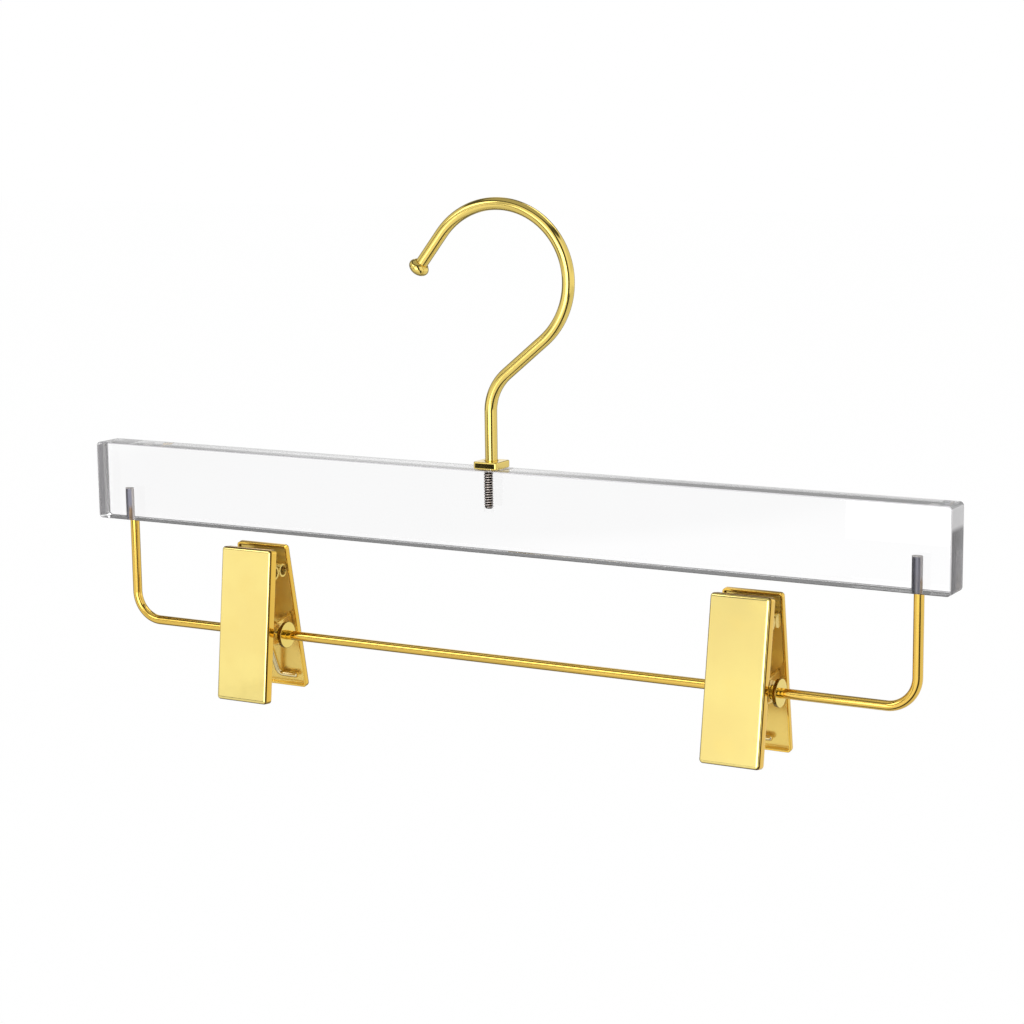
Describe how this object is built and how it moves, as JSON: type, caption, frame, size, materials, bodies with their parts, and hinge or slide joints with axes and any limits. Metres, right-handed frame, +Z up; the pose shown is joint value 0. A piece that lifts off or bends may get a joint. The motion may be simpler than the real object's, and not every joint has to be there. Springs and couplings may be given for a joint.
{
  "type": "skirt hanger",
  "caption": "Clear acrylic bar hanger with a swivelling wire hook and sprung clips that slide and turn on a wire trapeze below the bar.",
  "frame": {"origin": "the hook's seat on its rail: where the swivel axis meets the inside of the hook's arc", "axes": "+X along the bar to the right as seen from the front, +Y to the back, +Z up along the swivel axis"},
  "size_m": [0.355, 0.0319, 0.1952],
  "materials": {
    "clear_acrylic": "polished clear",
    "gold_wire": "polished",
    "gold_sheet": "polished",
    "bare_steel": "satin"
  },
  "bodies": {
    "hook": {"hook_wire": "gold_wire", "hook_tip": "gold_wire", "hook_stud": "bare_steel"},
    "bar": {"acrylic_bar": "clear_acrylic", "hook_collar": "gold_wire", "trapeze_wire": "gold_wire"},
    "left_pivot": {"left_pivot_rivet": "gold_sheet", "left_pivot_washer": "gold_sheet"},
    "left_front": {"left_front_plate": "gold_sheet", "left_front_bracket": "gold_sheet", "left_front_grip_tube": "gold_sheet", "left_spring": "gold_wire"},
    "left_rear": {"left_rear_plate": "gold_sheet", "left_rear_bracket": "gold_sheet", "left_rear_grip_tube": "gold_sheet"},
    "right_pivot": {"right_pivot_rivet": "gold_sheet", "right_pivot_washer": "gold_sheet"},
    "right_front": {"right_front_plate": "gold_sheet", "right_front_bracket": "gold_sheet", "right_front_grip_tube": "gold_sheet", "right_spring": "gold_wire"},
    "right_rear": {"right_rear_plate": "gold_sheet", "right_rear_bracket": "gold_sheet", "right_rear_grip_tube": "gold_sheet"}
  },
  "joints": [
    {"name": "hook_swivel", "type": "hinge", "parent": "hook", "child": "bar", "pos_m": [0, 0, -0.09367], "axis": [0, 0, 1], "continuous": true},
    {"name": "left_clip_slide", "type": "slide", "parent": "bar", "child": "left_pivot", "axis": [1, 0, 0], "range_m": [-0.034, 0.09]},
    {"name": "left_clip_swing", "type": "hinge", "parent": "left_pivot", "child": "left_front", "pos_m": [-0.105, 0, -0.16497], "axis": [1, 0, 0], "continuous": true},
    {"name": "left_clip_open", "type": "hinge", "parent": "left_front", "child": "left_rear", "pos_m": [-0.105, 0, -0.16497], "axis": [-1, 0, 0], "range_deg": [0, 40], "stiffness_Nm_per_rad": 0.12, "springref_deg": -68.75, "deforming": ["left_spring"]},
    {"name": "right_clip_slide", "type": "slide", "parent": "bar", "child": "right_pivot", "axis": [1, 0, 0], "range_m": [-0.087, 0.037]},
    {"name": "right_clip_swing", "type": "hinge", "parent": "right_pivot", "child": "right_front", "pos_m": [0.1018, 0, -0.16497], "axis": [1, 0, 0], "continuous": true},
    {"name": "right_clip_open", "type": "hinge", "parent": "right_front", "child": "right_rear", "pos_m": [0.1018, 0, -0.16497], "axis": [-1, 0, 0], "range_deg": [0, 40], "stiffness_Nm_per_rad": 0.12, "springref_deg": -68.75, "deforming": ["right_spring"]}
  ]
}
